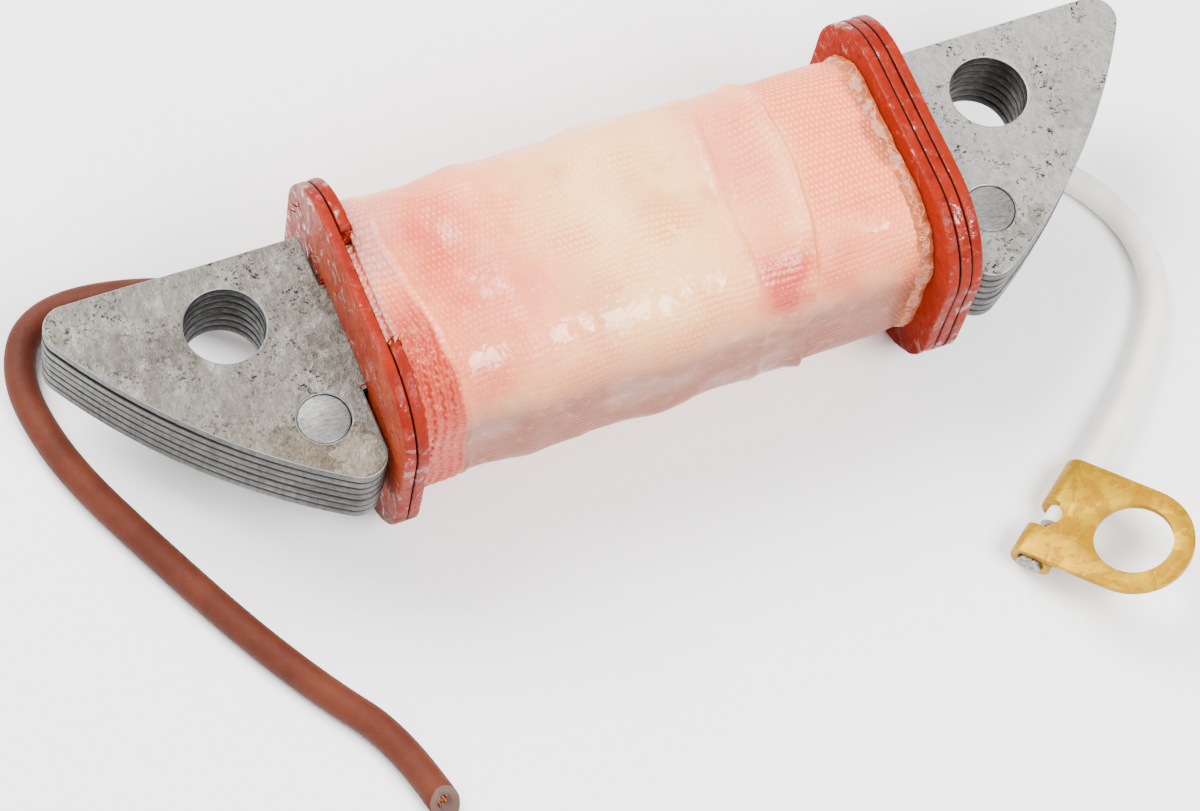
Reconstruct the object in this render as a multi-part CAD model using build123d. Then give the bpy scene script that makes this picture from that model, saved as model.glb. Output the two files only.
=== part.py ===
from build123d import *
import os
from math import cos, radians, sin, tan

# Stator coil of a small engine's ignition: laminated core, fibre flanges, taped winding, two leads.
# Frame: millimetres, +Z up. The origin is on the surface that the coil rests on, below the middle of the
# core's limb. The limb runs along X, and the curved pole faces look towards -Y.

# ---- driving dimensions ---------------------------------------------------------------------------
lamination_count = 7
lamination_thickness = 1.0
lamination_pitch = 1.06  # a film of varnish fills the rest

pole_radius = 54.75  # the curved pole faces follow the flywheel
pole_centre_y = 35.25
shoe_back_y = 9.45
shoe_inner_x = 25.1
shoe_corner_radius = 2.05
shoe_heel_radius = 0.5
limb_width = 9.6

hole_spacing = 66.6
hole_y = 3.8
hole_diameter = 6.5
rivet_spacing = 57.6
rivet_y = -6.2
rivet_diameter = 4.2
rivet_hole_diameter = 4.3

flange_width = 25.7
flange_height = 22.6
flange_corner_radius = 7.2
flange_outer_x = 24.7
plate_thickness = 1.0
plate_pitch = 1.03
slot_clearance = 0.1
left_plate_count = 2
right_plate_count = 3

fit_gap = 0.05
sleeve_thickness = 0.4
winding_build = 5.0  # measured from the limb, like the two below it
film_build = 5.2
tape_build = 5.85

brown_lead_diameter = 2.6
white_lead_diameter = 2.4
strand_bundle_diameter = 1.3
lead_hole_clearance = 0.4
brown_exit = (7.2, 5.2)  # Y and Z of the hole through the flange
white_exit = (6.9, 5.2)
splice_wall = 0.2
splice_length = 8.0
joint_length = 2.7
joint_diameter = 1.9
bend_share = 0.45  # how much of the shorter run beside it a bend of a lead uses up

terminal_hole_diameter = 6.5
terminal_half_width = 4.95
terminal_fold = 8.66  # from the hole's centre to the folded edge
terminal_sheet = 0.6
terminal_centre = (31.26, -33.63, 5.62)
terminal_heading = 216.87  # direction of the crimped wire, in degrees from +X
terminal_tilt = 17.0  # how far the ring's end is lifted
grip_length = 4.4  # the crimp on the insulation
crimp_start = 2.1  # the crimp on the strands starts here, past the middle
crimp_width = 3.5
crimp_height = 2.6
crimp_rounding = 0.45  # of the crimp's height
notch_radius = 1.3
notch_depth = 0.9  # of the notch's radius, in from the folded edge
crimp_seam = 0.1
seam_place = 1.7  # of the roll's radius, in from the folded edge
insulation_end = 0.95
squeeze = 0.9  # how much the last of the insulation tightens the strands
strand_stub = 0.35  # past the crimp

# ---- sizes that follow ----------------------------------------------------------------------------
stack_height = lamination_pitch * (lamination_count - 1) + lamination_thickness
mid_z = flange_height / 2
stack_bottom = mid_z - stack_height / 2
left_inner_x = -flange_outer_x + plate_pitch * (left_plate_count - 1) + plate_thickness
right_inner_x = flange_outer_x - plate_pitch * (right_plate_count - 1) - plate_thickness
winding_start = left_inner_x + fit_gap
winding_end = right_inner_x - fit_gap
square_cornered_build = 3 * sleeve_thickness  # below this a band keeps the limb's square corners
brown_pocket = brown_lead_diameter + 2 * splice_wall + 2 * fit_gap
white_pocket = white_lead_diameter + 2 * splice_wall + 2 * fit_gap

# ---- routes of the two leads, from inside the winding to the free end --------------------------------
brown_route = [
    (-17.5, 7.2, 5.2),
    (-23.4, 7.2, 5.2),
    (-26.6, 7.7, 5.0),
    (-29.4, 10.3, 4.1),
    (-33.5, 13.5, 2.9),
    (-38.1, 15.4, 1.9),
    (-42.7, 16.1, 1.3),
    (-45.8, 14.9, 1.3),
    (-47.4, 12.1, 1.3),
    (-47.8, 8.2, 1.3),
    (-46.4, 1.7, 1.3),
    (-42.7, -6.4, 1.3),
    (-38.2, -15.6, 1.3),
    (-34.0, -22.7, 1.3),
    (-30.1, -28.0, 1.3),
    (-28.8, -33.4, 1.3),
]
white_route = [
    (17.5, 6.9, 5.2),
    (23.2, 6.9, 5.2),
    (26.6, 6.7, 4.8),
    (32.0, 6.0, 3.3),
    (37.2, 4.6, 1.9),
    (41.6, 1.5, 1.2),
    (44.6, -2.7, 1.2),
    (45.9, -7.3, 1.2),
    (45.1, -12.2, 1.2),
    (42.3, -16.5, 1.2),
    (38.3, -20.5, 1.5),
    (34.3, -23.8, 1.84),
    (30.56, -26.69, 1.86),
    (26.88, -29.45, 1.86),
]


# ---- core -----------------------------------------------------------------------------------------
def shoe_outline():
    """The right pole shoe, seen from above."""
    reach = pole_radius
    window = Pos(shoe_inner_x + reach / 2, shoe_back_y - reach / 2) * Rectangle(reach, reach)
    shoe = Pos(0, pole_centre_y) * Circle(pole_radius) & window
    heel = (shoe_inner_x, shoe_back_y, 0)
    shoe = fillet(shoe.vertices().sort_by_distance(heel)[0], shoe_heel_radius)
    return fillet(shoe.vertices().sort_by_distance(heel)[2:], shoe_corner_radius)


def lamination_outline():
    shoe = shoe_outline()
    limb = Rectangle(2 * shoe_inner_x + 1, limb_width)
    sheet = limb + shoe + mirror(shoe, Plane.YZ)
    for side in (-1, 1):
        sheet -= Pos(side * hole_spacing / 2, hole_y) * Circle(hole_diameter / 2)
        sheet -= Pos(side * rivet_spacing / 2, rivet_y) * Circle(rivet_hole_diameter / 2)
    return sheet


def lamination(number):
    """Sheets are numbered from the top down."""
    bottom = stack_bottom + lamination_pitch * (lamination_count - number)
    return Pos(0, 0, bottom) * extrude(lamination_outline(), lamination_thickness)


def rivet(side):
    place = Pos(side * rivet_spacing / 2, rivet_y, stack_bottom)
    return place * extrude(Circle(rivet_diameter / 2), stack_height)


# ---- flanges --------------------------------------------------------------------------------------
def across(x):
    """A plane across the limb at x: its own X runs along +Y and its own Y is up."""
    return Plane(origin=(x, 0, mid_z), x_dir=(0, 1, 0), z_dir=(1, 0, 0))


def flange_plate(x, slot_direction, lead_hole, lead_diameter):
    """A fibre plate with its open slot towards slot_direction, a (Y, Z) pair."""
    slot_width = limb_width + slot_clearance
    slot_height = stack_height + slot_clearance
    to_y, to_z = slot_direction
    sketch = RectangleRounded(flange_width, flange_height, flange_corner_radius)
    sketch -= Rectangle(slot_width, slot_height)
    sketch -= Pos(to_y * flange_width / 2, to_z * flange_height / 2) * Rectangle(
        slot_width if to_z else flange_width, slot_height if to_y else flange_height
    )
    hole_radius = lead_diameter / 2 + lead_hole_clearance
    sketch -= Pos(lead_hole[0], lead_hole[1] - mid_z) * Circle(hole_radius)
    return extrude(across(x) * sketch, plate_thickness)


# ---- winding --------------------------------------------------------------------------------------
def ring(inner_build, outer_build, start, end):
    """A closed band round the limb, between two distances from the limb's surface."""
    outer = RectangleRounded(limb_width + 2 * outer_build, stack_height + 2 * outer_build, outer_build)
    inner_size = (limb_width + 2 * inner_build, stack_height + 2 * inner_build)
    if inner_build > square_cornered_build:
        inner = RectangleRounded(*inner_size, inner_build)
    else:
        inner = Rectangle(*inner_size)
    return extrude(across(start) * (outer - inner), end - start)


def rod(position, diameter, start, end):
    """A round rod along X through the given (Y, Z) position."""
    y, z = position
    return extrude(across(start) * Pos(y, z - mid_z) * Circle(diameter / 2), end - start)


def copper_winding():
    pocket_length = splice_length + 2 * fit_gap
    winding = ring(sleeve_thickness + 2 * fit_gap, winding_build, winding_start, winding_end)
    winding -= rod(brown_exit, brown_pocket, winding_start - 1, winding_start + pocket_length)
    winding -= rod(white_exit, white_pocket, winding_end - pocket_length, winding_end + 1)
    return winding


def splice(position, lead_diameter, face_x, direction):
    """The sleeve over the joint between the fine winding wire and a lead, and the solder inside it."""
    bore = lead_diameter + 2 * fit_gap
    far_x = face_x + direction * splice_length
    start, end = sorted((face_x, far_x))
    outside = rod(position, bore + 2 * splice_wall - fit_gap, start, end)
    return outside - rod(position, bore, start - 1, end + 1)


def solder_joint(position, lead_tip_x, direction):
    start, end = sorted((lead_tip_x, lead_tip_x + direction * joint_length))
    joint = rod(position, joint_diameter, start, end)
    return fillet(joint.edges(), joint_diameter / 4)


# ---- leads ----------------------------------------------------------------------------------------
def corner_radii(route):
    """Each bend is as large as its two runs allow."""
    points = [Vector(*point) for point in route]
    radii = []
    for before, here, after in zip(points, points[1:], points[2:]):
        turn = radians((here - before).get_angle(after - here))
        shorter = min((here - before).length, (after - here).length)
        radii.append(bend_share * shorter / tan(turn / 2))
    return radii


def lead(route, diameter, name):
    """Returns a lead's insulation and the strands in it, both swept along the same path."""
    radii = corner_radii(route)
    path = FilletPolyline(*route, radius=radii)
    start = Plane(origin=path @ 0, z_dir=path % 0)
    whole = sweep(start * Circle(diameter / 2), path=path)
    strands = sweep(start * Circle(strand_bundle_diameter / 2), path=path)
    expected = path.length * Circle(diameter / 2).area
    print(name, "lead: length", round(path.length, 2), "volume over section x length",
          round(whole.volume / expected, 4), "radii", [round(radius, 1) for radius in radii])
    return whole - strands, strands


# ---- ring terminal --------------------------------------------------------------------------------
def terminal_plane():
    """Its X runs along the crimped wire, its Y to the ring's end and its Z out of the sheet's top."""
    heading = radians(terminal_heading)
    tilt = radians(terminal_tilt)
    wire = (cos(heading), sin(heading), 0)
    up = (sin(heading) * sin(tilt), -cos(heading) * sin(tilt), cos(tilt))
    return Plane(origin=terminal_centre, x_dir=wire, z_dir=up)


def along_wire(start, length, sketch):
    """Extrudes a sketch drawn in the terminal's (Y, Z), from start, along the wire."""
    section = Plane(origin=(start, 0, 0), x_dir=(0, 1, 0), z_dir=(1, 0, 0))
    return extrude(section * sketch, length)


def ring_terminal():
    half = terminal_half_width
    grip_outer = white_lead_diameter + 2 * fit_gap + 2 * terminal_sheet
    roll = grip_outer / 2
    blank = Pos(0, -(terminal_fold - roll) / 2) * Rectangle(2 * half, terminal_fold - roll)
    blank += Circle(half)
    blank -= Circle(terminal_hole_diameter / 2)
    sheet = extrude(Pos(0, 0, -terminal_sheet) * blank, terminal_sheet)

    grip_centre = Pos(-terminal_fold + roll, -roll)
    grip_section = grip_centre * (Circle(roll) - Circle(roll - terminal_sheet))
    grip = along_wire(-half, grip_length, grip_section)

    middle = Pos(-terminal_fold + crimp_width / 2, -crimp_height / 2)
    inner_width = crimp_width - 2 * terminal_sheet
    inner_height = crimp_height - 2 * terminal_sheet
    crimp_section = middle * (
        RectangleRounded(crimp_width, crimp_height, crimp_rounding * crimp_height)
        - RectangleRounded(inner_width, inner_height, crimp_rounding * inner_height)
    )
    crimp = along_wire(crimp_start, half - crimp_start, crimp_section)

    gap_middle = (crimp_start - half + grip_length) / 2
    notch = Pos(gap_middle, -terminal_fold + notch_depth * notch_radius) * Circle(notch_radius)
    notch += Pos(gap_middle, -terminal_fold) * Rectangle(2 * notch_depth * notch_radius, notch_radius)
    body = sheet + grip + crimp - extrude(Pos(0, 0, -terminal_sheet) * notch, 2 * terminal_sheet)
    rolls = ((-half, roll, grip_length), (crimp_start, crimp_width / 2, half - crimp_start))
    for start, radius, length in rolls:
        seam_centre = Pos(-terminal_fold + seam_place * radius, -terminal_sheet - crimp_seam / 2)
        body -= along_wire(start - 1, length + 2, seam_centre * Rectangle(radius, crimp_seam))
    return terminal_plane() * body


def crimped_strands():
    """The strands past the end of the insulation, squeezed flat in the crimp."""
    wire_y = -terminal_fold + white_lead_diameter / 2 + fit_gap + terminal_sheet
    wire_z = -white_lead_diameter / 2 - fit_gap - terminal_sheet
    flat_width = crimp_width - 2 * terminal_sheet - 2 * fit_gap
    flat_height = crimp_height - 2 * terminal_sheet - 2 * fit_gap
    flat = Pos(-terminal_fold + crimp_width / 2, -crimp_height / 2) * RectangleRounded(
        flat_width, flat_height, crimp_rounding * flat_height
    )
    round_face = Plane(origin=(insulation_end, wire_y, wire_z), x_dir=(0, 1, 0), z_dir=(1, 0, 0))
    flat_face = Plane(origin=(crimp_start, 0, 0), x_dir=(0, 1, 0), z_dir=(1, 0, 0))
    spread = loft([round_face * Circle(squeeze * strand_bundle_diameter / 2), flat_face * flat])
    bar = along_wire(crimp_start, terminal_half_width + strand_stub - crimp_start, flat)
    return terminal_plane() * (spread + bar)


# ---- all the pieces -------------------------------------------------------------------------------
def build_parts():
    parts = {}
    for number in range(1, lamination_count + 1):
        parts[f"lamination_{number}"] = lamination(number)
    parts["rivet_left"] = rivet(-1)
    parts["rivet_right"] = rivet(1)

    up, down, back = (0, 1), (0, -1), (1, 0)
    left_x = -flange_outer_x
    parts["left_flange_outer"] = flange_plate(left_x, down, brown_exit, brown_lead_diameter)
    parts["left_flange_inner"] = flange_plate(left_x + plate_pitch, up, brown_exit, brown_lead_diameter)
    for name, step, slot in (("outer", 0, down), ("middle", 1, back), ("inner", 2, down)):
        x = flange_outer_x - plate_thickness - step * plate_pitch
        parts[f"right_flange_{name}"] = flange_plate(x, slot, white_exit, white_lead_diameter)

    parts["limb_sleeve"] = ring(fit_gap, fit_gap + sleeve_thickness, winding_start, winding_end)
    parts["copper_winding"] = copper_winding()
    parts["insulation_film"] = ring(winding_build + fit_gap / 2, film_build, winding_start, winding_end)
    parts["cloth_tape"] = ring(film_build + fit_gap / 2, tape_build, winding_start, winding_end)

    brown_insulation, brown_strands = lead(brown_route, brown_lead_diameter, "brown")
    white_insulation, white_strands = lead(white_route, white_lead_diameter, "white")
    parts["brown_lead"] = brown_insulation
    parts["brown_lead_strands"] = brown_strands
    parts["white_lead"] = white_insulation
    parts["white_lead_strands"] = white_strands + crimped_strands()
    parts["brown_splice_sleeve"] = splice(brown_exit, brown_lead_diameter, winding_start, 1)
    parts["white_splice_sleeve"] = splice(white_exit, white_lead_diameter, winding_end, -1)
    parts["brown_solder_joint"] = solder_joint(brown_exit, brown_route[0][0], 1)
    parts["white_solder_joint"] = solder_joint(white_exit, white_route[0][0], -1)
    parts["ring_terminal"] = ring_terminal()
    return parts


os.makedirs("parts", exist_ok=True)
for node, solid in build_parts().items():
    export_step(solid, f"parts/{node}.step")
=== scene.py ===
import math

import bmesh
import bpy
import numpy as np
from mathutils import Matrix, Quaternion, Vector
from mathutils.geometry import tessellate_polygon


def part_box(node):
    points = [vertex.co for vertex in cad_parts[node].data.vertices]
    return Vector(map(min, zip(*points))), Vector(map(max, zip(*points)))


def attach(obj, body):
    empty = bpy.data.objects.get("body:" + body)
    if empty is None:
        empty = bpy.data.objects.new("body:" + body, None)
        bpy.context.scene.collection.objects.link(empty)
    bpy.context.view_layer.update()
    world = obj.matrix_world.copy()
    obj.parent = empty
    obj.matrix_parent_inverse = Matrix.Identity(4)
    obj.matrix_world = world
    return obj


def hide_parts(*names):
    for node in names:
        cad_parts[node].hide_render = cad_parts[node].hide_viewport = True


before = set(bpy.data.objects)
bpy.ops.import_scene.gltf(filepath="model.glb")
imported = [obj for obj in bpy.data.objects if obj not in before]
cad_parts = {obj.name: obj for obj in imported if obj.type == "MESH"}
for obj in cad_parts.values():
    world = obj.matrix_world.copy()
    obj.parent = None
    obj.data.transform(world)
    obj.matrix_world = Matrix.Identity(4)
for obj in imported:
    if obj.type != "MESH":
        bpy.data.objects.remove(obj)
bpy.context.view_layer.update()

MM = 0.001  # every length below is in millimetres, and goes into Blender times this

# ---- camera ----
CAMERA_PLACE = (-90.56, -123.62, 290.67)
CAMERA_TARGET = (-6.98, -10.69, 11.3)
CAMERA_ROLL = 15.64  # degrees
CAMERA_LENS = 118.8


def linked(name, data):
    """A new object in the scene."""
    made = bpy.data.objects.new(name, data)
    bpy.context.scene.collection.objects.link(made)
    return made


def make_camera():
    camera = linked("camera", bpy.data.cameras.new("camera"))
    bpy.context.scene.camera = camera
    place, target = Vector(CAMERA_PLACE) * MM, Vector(CAMERA_TARGET) * MM
    camera.location = place
    camera.rotation_mode = "QUATERNION"
    look = (target - place).to_track_quat("-Z", "Y")
    camera.rotation_quaternion = look @ Quaternion((0, 0, 1), math.radians(CAMERA_ROLL))
    camera.data.lens = CAMERA_LENS
    camera.data.clip_start, camera.data.clip_end = 0.01, 10


make_camera()


# ---- small tools for meshes and noise ----
def applied(thing, **settings):
    """The thing, with its attributes set."""
    for name, value in settings.items():
        setattr(thing, name, value)
    return thing


def smooth(t):
    """0 below 0, 1 above 1, and a smooth step between."""
    t = np.clip(t, 0, 1)
    return t * t * (3 - 2 * t)


def bell(x, centre, half_width):
    return np.exp(-(((x - centre) / half_width) ** 2))


def lattice_noise(u, v, cell, seed, period=None):
    """Smooth noise from -1 to 1 over the plane, with features of the cell's size.

    It repeats in v after the period, if there is one.
    """
    size = 512
    table = np.random.default_rng(seed).uniform(-1, 1, (size, size))
    a, b = np.asarray(u) / cell, np.asarray(v) / cell
    rows = size
    if period:
        rows = max(2, int(round(period / cell)))
        b = np.asarray(v) / period * rows
    i, j = np.floor(a).astype(int), np.floor(b).astype(int)
    f, g = smooth(a - i), smooth(b - j)
    i0, i1, j0, j1 = i % size, (i + 1) % size, j % rows, (j + 1) % rows
    low = table[i0, j0] * (1 - f) + table[i1, j0] * f
    high = table[i0, j1] * (1 - f) + table[i1, j1] * f
    return low * (1 - g) + high * g


def cloudy(u, v, cell, seed, octaves=3, period=None):
    total, weight = 0.0, 0.0
    for octave in range(octaves):
        share = 0.5**octave
        total = total + share * lattice_noise(u, v, cell * share, seed + octave, period)
        weight += share
    return total / weight


def inward_of(outline):
    """At each point of an anticlockwise closed outline, the direction that points inwards."""
    along = np.roll(outline, -1, 0) - np.roll(outline, 1, 0)
    inward = np.stack([-along[:, 1], along[:, 0]], 1)
    return inward / np.linalg.norm(inward, axis=1)[:, None]


def new_piece(name, data, material, slot, replaced=()):
    """Links a mesh or curve, in the row frame, as a piece that rides on the only body."""
    piece = linked(name, data)
    data.materials.append(material)
    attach(piece, "root")
    if replaced:
        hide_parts(*replaced)
    return piece


def mesh_of(name, points, faces, smooth_faces=True):
    """points are in millimetres."""
    mesh = bpy.data.meshes.new(name)
    faces = faces.tolist() if isinstance(faces, np.ndarray) else faces
    mesh.from_pydata((np.asarray(points, float) * MM).tolist(), [], faces)
    if smooth_faces:
        mesh.polygons.foreach_set("use_smooth", [True] * len(mesh.polygons))
    return mesh


def mesh_piece(name, points, faces, *said):
    """A new piece from points and faces. said is its material, its slot, which is not used, and the nodes
    it replaces.
    """
    return new_piece(name, mesh_of(name, points, faces), *said)


def grid_faces(rows, columns, closed_rows=False, closed_columns=False):
    """Quads over a grid of points, stored row by row."""
    i, j = np.meshgrid(
        np.arange(rows if closed_rows else rows - 1),
        np.arange(columns if closed_columns else columns - 1),
        indexing="ij",
    )
    i2, j2 = (i + 1) % rows, (j + 1) % columns
    corners = [i * columns + j, i * columns + j2, i2 * columns + j2, i2 * columns + j]
    return np.stack([c.ravel() for c in corners], 1)


def flat_plate(loops, thickness, rounding):
    """Points and faces of a plate with rounded edges, lying in XY from z = 0 up.

    loops are closed outlines: the outside first, anticlockwise, and then its holes, clockwise.
    """
    turns = np.linspace(0, math.pi / 2, 4)
    rim = [(rounding * (1 - math.sin(a)), rounding * (1 - math.cos(a))) for a in turns]
    rim = [(rounding * 1.6, 0.0)] + rim  # the first ring keeps the flat's shading flat
    rings = [(inset, thickness - drop) for inset, drop in rim] + rim[::-1]
    points, faces, tops, bottoms = [], [], [], []
    start = 0
    for loop in loops:
        loop = np.asarray(loop, float)
        count = len(loop)
        inward = inward_of(loop)
        for distance, height in rings:
            points.append(np.column_stack([loop + inward * distance, np.full(count, height)]))
        quads = grid_faces(len(rings), count, closed_columns=True)[:, ::-1] + start
        faces += quads.tolist()
        tops.append(np.arange(start, start + count))
        bottoms.append(np.arange(count) + start + (len(rings) - 1) * count)
        start += len(rings) * count
    points = np.concatenate(points)
    for indices, flip in ((tops, False), (bottoms, True)):
        order = np.concatenate(indices)
        flats = [[Vector((*points[i][:2], 0)) for i in some] for some in indices]
        for triangle in tessellate_polygon(flats):
            corners = [int(order[i]) for i in triangle]
            a, b, c = (points[i][:2] for i in corners)
            upward = np.cross(b - a, c - a) > 0
            faces.append(corners if upward != flip else corners[::-1])
    return points, faces


def arc(centre, radius, start, end, spacing=0.5):
    """Points on an arc, angles in degrees, the last one left out."""
    count = max(2, int(abs(math.radians(end - start)) * radius / spacing) + 1)
    angles = np.radians(np.linspace(start, end, count, endpoint=False))
    return [(centre[0] + radius * math.cos(a), centre[1] + radius * math.sin(a)) for a in angles]


def subdivided(outline, spacing):
    """The same closed outline with points at least that close."""
    made = []
    for a, b in zip(outline, outline[1:] + outline[:1]):
        a, b = np.array(a), np.array(b)
        count = max(1, int(math.ceil(np.linalg.norm(b - a) / spacing)))
        made += [tuple(a + (b - a) * k / count) for k in range(count)]
    return made


def soften(piece, width, segments):
    """Rounds a piece's sharp edges with modifiers, which leave its own mesh as it is."""
    applied(piece.modifiers.new("weld", "WELD"), merge_threshold=0.00002)
    flat = piece.modifiers.new("flat", "DECIMATE")
    applied(flat, decimate_type="DISSOLVE", angle_limit=math.radians(0.1))
    bevel = piece.modifiers.new("round", "BEVEL")
    applied(bevel, width=width * MM, segments=segments, limit_method="ANGLE")
    applied(bevel, angle_limit=math.radians(35), harden_normals=True, use_clamp_overlap=True)


# ---- places that materials and pieces share ----
HOLE_PLACE = (33.3, 3.8)
HOLE_RADIUS = 3.25
MID_Z = 11.3
STACK_BOTTOM = 7.62
SHEET_PITCH = 1.06
SHEET_THICKNESS = 1.0
STACK_TOP = STACK_BOTTOM + 6 * SHEET_PITCH + SHEET_THICKNESS
TIP_LIFT = 0.30  # the top sheet has sprung up at the left tip
LIFT_START = -31.5
LIFT_RUN = 11.0
LIFT_CUTS = 0.5
WEAVE_COLUMN = 0.46
LIMB_HALF_Y = 4.8
LIMB_HALF_Z = 3.68
ROUND = 2 * math.pi
TAPE_RISE = 5.6  # the tape's usual height off the limb
PLATE_JOINTS = (23.685, 22.655)  # where the flanges' plates meet: of both ends, of the right end only
GIRTH = 4 * (LIMB_HALF_Y + LIMB_HALF_Z) + ROUND * TAPE_RISE
WEAVE_ROW = GIRTH / 126
WIRE_PITCH = 0.16
STAIN_Z = 15
# varnish stains on the core's upper flat: centre, radius, colour, strength, strength of the dark outline
STAINS = (
    ((-29.8, -9.6), 4.6, (0.088, 0.058, 0.028), 0.85, 1.0),
    ((-27.6, -9.9), 2.3, (0.220, 0.185, 0.140), 0.70, 0.7),
    ((-25.2, 3.6), 1.6, (0.045, 0.033, 0.020), 0.80, 0.0),
    ((-25.4, 0.6), 2.0, (0.045, 0.033, 0.020), 0.80, 0.0),
    ((-25.6, -2.6), 1.6, (0.050, 0.038, 0.025), 0.70, 0.0),
    ((-38.0, 3.0), 2.2, (0.046, 0.040, 0.030), 0.60, 0.0),
    ((-42.8, 3.9), 2.3, (0.046, 0.038, 0.028), 0.55, 0.0),
    ((-39.4, 1.3), 2.4, (0.070, 0.056, 0.040), 0.40, 0.0),
    ((-34.5, -6.2), 3.4, (0.135, 0.112, 0.082), 0.50, 0.3),
    ((39.5, 1.0), 3.0, (0.110, 0.094, 0.070), 0.35, 0.0),
    ((31.0, -9.6), 2.6, (0.080, 0.066, 0.046), 0.50, 0.0),
)

# ---- materials ----
COLOUR_A, COLOUR_B, COLOUR_OUT = 6, 7, 2  # a mix node's sockets for colours


def node_math(operation):
    return lambda a, b=0.0: a.shader.math(operation, a, b)


class Value:
    """What a shader node puts out. Arithmetic on it adds the nodes that work it out."""

    def __init__(self, shader, socket):
        self.shader = shader
        self.socket = socket

    __add__ = node_math("ADD")
    __sub__ = node_math("SUBTRACT")
    __mul__ = node_math("MULTIPLY")
    __truediv__ = node_math("DIVIDE")
    __pow__ = node_math("POWER")
    __abs__ = node_math("ABSOLUTE")

    def __rsub__(self, other):
        return self.shader.math("SUBTRACT", other, self)


class Shader:
    """Builds one procedural material. Its textures are laid out in millimetres of the row frame."""

    def __init__(self, name):
        self.material = bpy.data.materials.new(name)
        self.material.use_nodes = True
        self.tree = self.material.node_tree
        self.surface = self.tree.nodes["Principled BSDF"]
        metres = self.node("TexCoord", "Object")
        self.place = self.node("VectorMath", 0, {0: metres, "Scale": 1 / MM}, operation="SCALE")

    def node(self, kind, output, inputs=None, **settings):
        """Adds a node with its inputs and settings, and gives one of its outputs."""
        node = applied(self.tree.nodes.new("ShaderNode" + kind), **settings)
        for socket, value in (inputs or {}).items():
            self.put(value, node.inputs[socket])
        return Value(self, node.outputs[output])

    def put(self, value, socket):
        """Links a value to a socket, or sets the socket to a constant."""
        if isinstance(value, Value):
            self.tree.links.new(value.socket, socket)
        elif socket.type == "RGBA":
            socket.default_value = (*value, 1)
        else:
            socket.default_value = value

    def set(self, **values):
        """Sets inputs of the surface, named with _ for a space, and gives the material."""
        for name, value in values.items():
            self.put(value, self.surface.inputs[name.replace("_", " ")])
        return self.material

    def math(self, operation, a, b=0.0):
        return self.node("Math", 0, {0: a, 1: b}, operation=operation)

    def wave(self, turns):
        """A cosine wave from 0 to 1, which peaks at whole turns."""
        return self.math("COSINE", turns * ROUND) * 0.5 + 0.5

    def noise(self, per_mm, detail=4.0, roughness=0.55, stretch=None, distortion=0.0):
        where = self.place
        if stretch:
            where = self.node("Mapping", 0, {0: where, "Scale": stretch})
        inputs = {"Vector": where, "Scale": per_mm, "Detail": detail, "Roughness": roughness}
        return self.node("TexNoise", "Fac", {**inputs, "Distortion": distortion})

    def span(self, value, low, high, to_low=0.0, to_high=1.0):
        """Maps low..high to to_low..to_high, smoothly and clamped."""
        inputs = {"Value": value, "From Min": low, "From Max": high, "To Min": to_low, "To Max": to_high}
        return self.node("MapRange", 0, inputs, interpolation_type="SMOOTHSTEP")

    def mix(self, share, a, b, blend="MIX"):
        inputs = {"Factor": share, COLOUR_A: a, COLOUR_B: b}
        return self.node("Mix", COLOUR_OUT, inputs, data_type="RGBA", blend_type=blend)

    def tint(self, colour, tone, pattern, low, high, strength=1.0):
        """The colour, with the tone laid over it as the pattern goes from low to high."""
        return self.mix(self.span(pattern, low, high, 0.0, strength), colour, tone)

    def stored(self, name, which="Fac"):
        """A value stored on the mesh."""
        return self.node("Attribute", which, attribute_name=name)

    def split(self, vector):
        node = self.node("SeparateXYZ", 0, {0: vector}).socket.node
        return [Value(self, output) for output in node.outputs]

    def facing(self):
        """The parts of the true normal along X, Y and Z."""
        return self.split(self.node("NewGeometry", "True Normal"))

    def near(self, centre, radius, wobble, per_mm):
        """1 round a point, and 0 from about the radius on, with a ragged edge."""
        places = {0: self.place, 1: centre}
        away = self.node("VectorMath", "Value", places, operation="DISTANCE")
        ragged = (self.noise(per_mm, 5, 0.6) - 0.5) * (2.4 * wobble * radius)
        return self.span(away + ragged, radius * 0.75, radius, 1.0, 0.0)

    def bump(self, height, depth, below=None):
        """Relief with a height from 0 to 1 and a depth in millimetres, on top of another if given."""
        inputs = {"Height": height, "Distance": depth * MM, "Strength": 1.0}
        if below:
            inputs["Normal"] = below
        return self.node("Bump", "Normal", inputs)


def outline_of(blot):
    """The band along a blot's soft edge, at most a quarter."""
    return blot * (1.0 - blot)


def scaled(colour, factor, plus=0.0):
    return tuple(min(1, c * factor + plus) for c in colour)


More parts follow.
